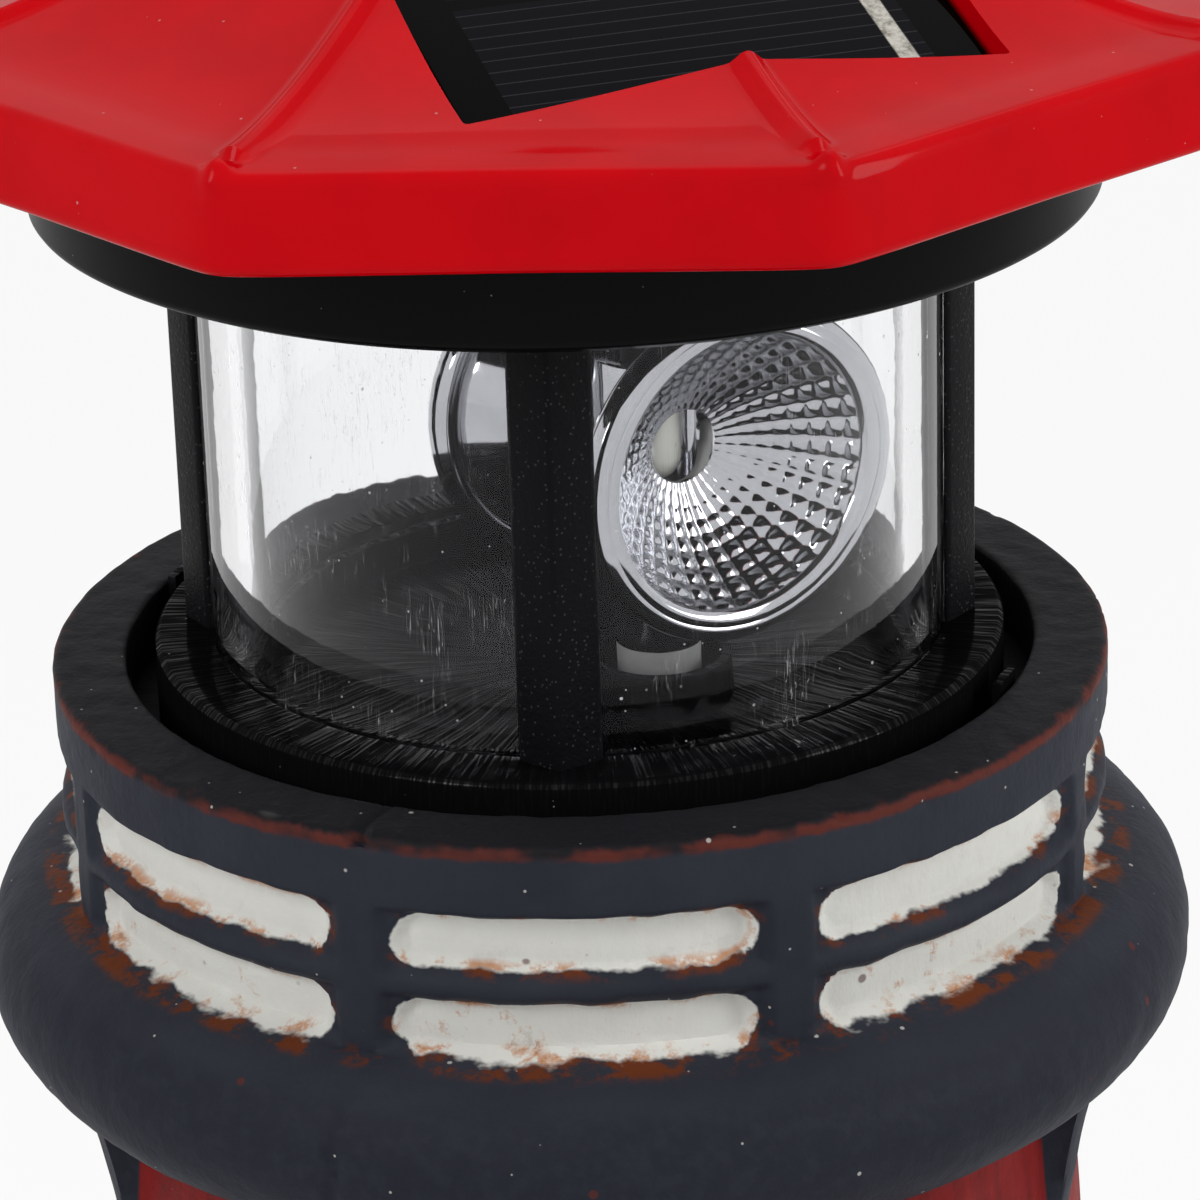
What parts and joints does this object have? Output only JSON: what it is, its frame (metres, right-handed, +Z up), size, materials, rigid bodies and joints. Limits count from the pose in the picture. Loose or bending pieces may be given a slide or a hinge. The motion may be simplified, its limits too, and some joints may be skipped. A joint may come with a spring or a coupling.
{
  "type": "garden lighthouse ornament",
  "caption": "Solar garden lighthouse: cast resin tower with a lift-out lantern, whose motor turns twin reflectors about a lamp under a roof with a solar panel.",
  "frame": {"origin": "on the ground, at the centre of the tower's round foot", "axes": "+Z up along the tower's axis; -Y is the front, where the door is and where the picture was taken from"},
  "size_m": [0.15, 0.15, 0.3446],
  "materials": {
    "cast_resin": "hand-painted cast resin, matt with rust washes",
    "rubber_black": "matt foam rubber",
    "roof_red": "glossy moulded plastic",
    "housing_black": "black moulded plastic with a fine spark-eroded grain",
    "base_black": "black moulded plastic, brushed by handling",
    "board_black": "solder-masked laminate",
    "board_green": "solder-masked laminate",
    "cell_blue": "silicon with fine grid lines",
    "clear_resin": "clear epoxy, scuffed",
    "clear_plastic": "clear moulded plastic",
    "chromed_plastic": "vacuum-metallised plastic",
    "screw_steel": "zinc-plated steel",
    "can_steel": "plated steel can",
    "nylon_white": "natural nylon",
    "gear_brass": "machined brass",
    "cell_sleeve": "shrink sleeve",
    "lamp_clear": "clear epoxy lamp"
  },
  "bodies": {
    "tower": {"tower_casting": "cast_resin", "anti_slip_pads": "rubber_black"},
    "lantern": {"roof_shell": "roof_red", "panel_board": "board_black", "solar_cells": "cell_blue", "cell_ribbons": "screw_steel", "panel_resin": "clear_resin", "upper_housing": "housing_black", "lens_cage": "housing_black", "roof_screws": "screw_steel", "lens_tube": "clear_plastic", "lens_seals": "rubber_black", "lamp_carrier": "housing_black", "lamp": "lamp_clear", "base_flange": "base_black", "post_screws": "screw_steel", "motor_bracket": "can_steel", "bracket_screws": "screw_steel", "motor": "can_steel", "base_cup": "base_black", "battery_cell": "cell_sleeve", "battery_contacts": "screw_steel", "battery_door": "base_black", "door_screw": "screw_steel", "circuit_board": "board_green", "board_parts": "board_black", "switch_body": "board_black"},
    "beacon": {"spindle": "nylon_white", "spindle_gear": "nylon_white", "beacon_body": "chromed_plastic", "front_reflector": "chromed_plastic", "rear_reflector": "chromed_plastic"},
    "motor_drive": {"motor_shaft": "can_steel", "pinion": "gear_brass"},
    "power_switch": {"switch_slider": "nylon_white"}
  },
  "joints": [
    {"name": "lantern_lift", "type": "slide", "parent": "tower", "child": "lantern", "axis": [0, 0, 1], "range_m": [0, 0.06]},
    {"name": "beacon_spin", "type": "hinge", "parent": "lantern", "child": "beacon", "pos_m": [0.0077, -0.0066, 0.25], "axis": [0, 0, 1], "continuous": true},
    {"name": "pinion_spin", "type": "hinge", "parent": "lantern", "child": "motor_drive", "pos_m": [-0.00361, 0.00471, 0.24], "axis": [0, 0, 1], "continuous": true},
    {"name": "power_slide", "type": "slide", "parent": "lantern", "child": "power_switch", "axis": [-1, 0, 0], "range_m": [0, 0.0025]}
  ],
  "couplings": [
    {"joint": "pinion_spin", "follows": "beacon_spin", "ratio": -3}
  ]
}
